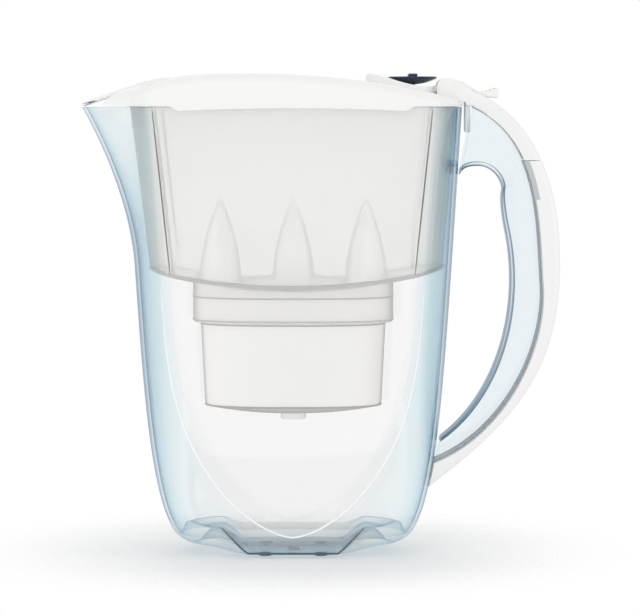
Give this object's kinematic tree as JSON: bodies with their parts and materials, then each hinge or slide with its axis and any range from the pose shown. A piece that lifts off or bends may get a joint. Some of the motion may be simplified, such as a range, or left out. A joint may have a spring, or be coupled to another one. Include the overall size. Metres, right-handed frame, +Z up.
{
  "type": "water filter pitcher",
  "caption": "Water filter pitcher with a drop-in funnel, a filter cartridge and a lid with a thumb-operated filling flap.",
  "frame": {"origin": "on the table, under the middle of the jug's base", "axes": "+Z up, +X from the spout towards the handle, Y across the jug"},
  "size_m": [0.2674, 0.1096, 0.2679],
  "materials": {
    "clear_blue": "clear pale-blue moulded plastic, polished",
    "milky": "milky translucent moulded plastic",
    "white": "white moulded plastic, glossy",
    "grey_strip": "light grey moulded strip",
    "warm_white": "warm off-white translucent plastic",
    "soft_seal": "soft seal",
    "pad": "soft foot pad",
    "mesh": "fine woven screen",
    "granules": "granular filter bed",
    "dark_blue": "dark blue moulded plastic",
    "steel": "ground pin"
  },
  "bodies": {
    "jug": {"jug_body": "clear_blue", "handle_core": "clear_blue", "handle_cover": "white", "handle_seam": "grey_strip", "base_feet": "pad"},
    "funnel_unit": {"funnel": "milky", "funnel_grips": "milky"},
    "cartridge": {"well_seal": "soft_seal", "cartridge_shell": "warm_white", "cartridge_cap": "warm_white", "cartridge_towers": "warm_white", "pull_pads": "warm_white", "inlet_screen": "mesh", "filter_bed": "granules", "outlet_screen": "mesh", "outlet_nozzle": "warm_white"},
    "lid": {"lid_frame": "white", "rear_cap": "white", "flap_pin": "white", "spout_bearings": "white", "spout_pin": "steel"},
    "flap": {"fill_flap": "white", "dial_housing": "white", "flap_lever": "white", "dial_bowl": "dark_blue", "dial_rivet": "white"},
    "dial": {"dial_disc": "dark_blue", "dial_ridge": "dark_blue"},
    "spout_flap": {"spout_cover": "white"}
  },
  "joints": [
    {"name": "funnel_lift", "type": "slide", "parent": "jug", "child": "funnel_unit", "axis": [0, 0, 1], "range_m": [0, 0.19]},
    {"name": "cartridge_pull", "type": "slide", "parent": "funnel_unit", "child": "cartridge", "axis": [0, 0, 1], "range_m": [0, 0.045]},
    {"name": "lid_lift", "type": "slide", "parent": "funnel_unit", "child": "lid", "axis": [0, 0, 1], "range_m": [0, 0.08]},
    {"name": "flap_hinge", "type": "hinge", "parent": "lid", "child": "flap", "pos_m": [0.0907, 0, 0.2608], "axis": [0, 1, 0], "range_deg": [0, 35]},
    {"name": "dial_turn", "type": "hinge", "parent": "flap", "child": "dial", "pos_m": [0.0666, 0, 0.2656], "axis": [0, 0, 1], "continuous": true},
    {"name": "spout_hinge", "type": "hinge", "parent": "lid", "child": "spout_flap", "pos_m": [-0.0826, 0, 0.2603], "axis": [0, 1, 0], "range_deg": [0, 45]}
  ]
}
